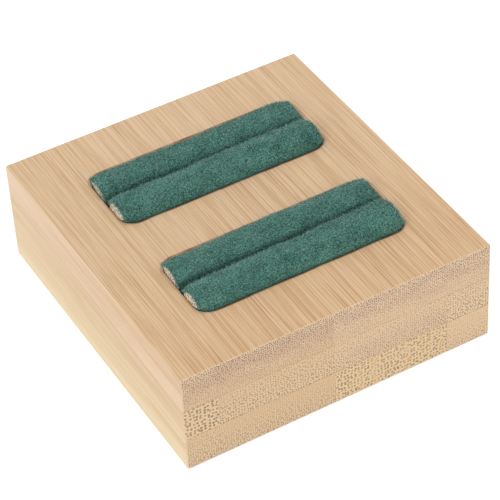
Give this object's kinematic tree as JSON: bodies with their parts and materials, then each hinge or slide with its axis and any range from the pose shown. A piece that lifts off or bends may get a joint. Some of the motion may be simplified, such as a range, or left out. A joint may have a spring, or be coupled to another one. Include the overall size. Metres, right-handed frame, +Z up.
{
  "type": "ring display tray",
  "caption": "Small laminated bamboo block with routed slots, each holding paired velvet-covered foam rolls that grip rings.",
  "frame": {"origin": "centre of the underside of the block", "axes": "+X along the slots to the right, +Y along the bamboo's grain to the back, +Z up"},
  "size_m": [0.0726, 0.078, 0.0287],
  "materials": {
    "bamboo_bottom": "sanded, matte",
    "bamboo_middle": "sanded, matte",
    "bamboo_top": "sanded, matte",
    "foam": "open-cell foam, cut ends",
    "velvet": "short brushed pile"
  },
  "bodies": {
    "block": {"bottom_ply_left_edge_strip": "bamboo_bottom", "bottom_ply_left_strip": "bamboo_bottom", "bottom_ply_right_strip": "bamboo_bottom", "bottom_ply_right_edge_strip": "bamboo_bottom", "middle_ply_left_edge_strip": "bamboo_middle", "middle_ply_left_strip": "bamboo_middle", "middle_ply_right_strip": "bamboo_middle", "middle_ply_right_edge_strip": "bamboo_middle", "top_ply_left_edge_strip": "bamboo_top", "top_ply_left_strip": "bamboo_top", "top_ply_right_strip": "bamboo_top", "top_ply_right_edge_strip": "bamboo_top"},
    "back_slot_rear_roll": {"back_slot_rear_foam_core": "foam", "back_slot_rear_velvet_cover": "velvet"},
    "back_slot_front_roll": {"back_slot_front_foam_core": "foam", "back_slot_front_velvet_cover": "velvet"},
    "front_slot_rear_roll": {"front_slot_rear_foam_core": "foam", "front_slot_rear_velvet_cover": "velvet"},
    "front_slot_front_roll": {"front_slot_front_foam_core": "foam", "front_slot_front_velvet_cover": "velvet"}
  },
  "joints": [
    {"name": "back_slot_rear_lift_out", "type": "slide", "parent": "block", "child": "back_slot_rear_roll", "axis": [0, 0, 1], "range_m": [0, 0.012]},
    {"name": "back_slot_front_lift_out", "type": "slide", "parent": "block", "child": "back_slot_front_roll", "axis": [0, 0, 1], "range_m": [0, 0.012]},
    {"name": "front_slot_rear_lift_out", "type": "slide", "parent": "block", "child": "front_slot_rear_roll", "axis": [0, 0, 1], "range_m": [0, 0.012]},
    {"name": "front_slot_front_lift_out", "type": "slide", "parent": "block", "child": "front_slot_front_roll", "axis": [0, 0, 1], "range_m": [0, 0.012]}
  ]
}
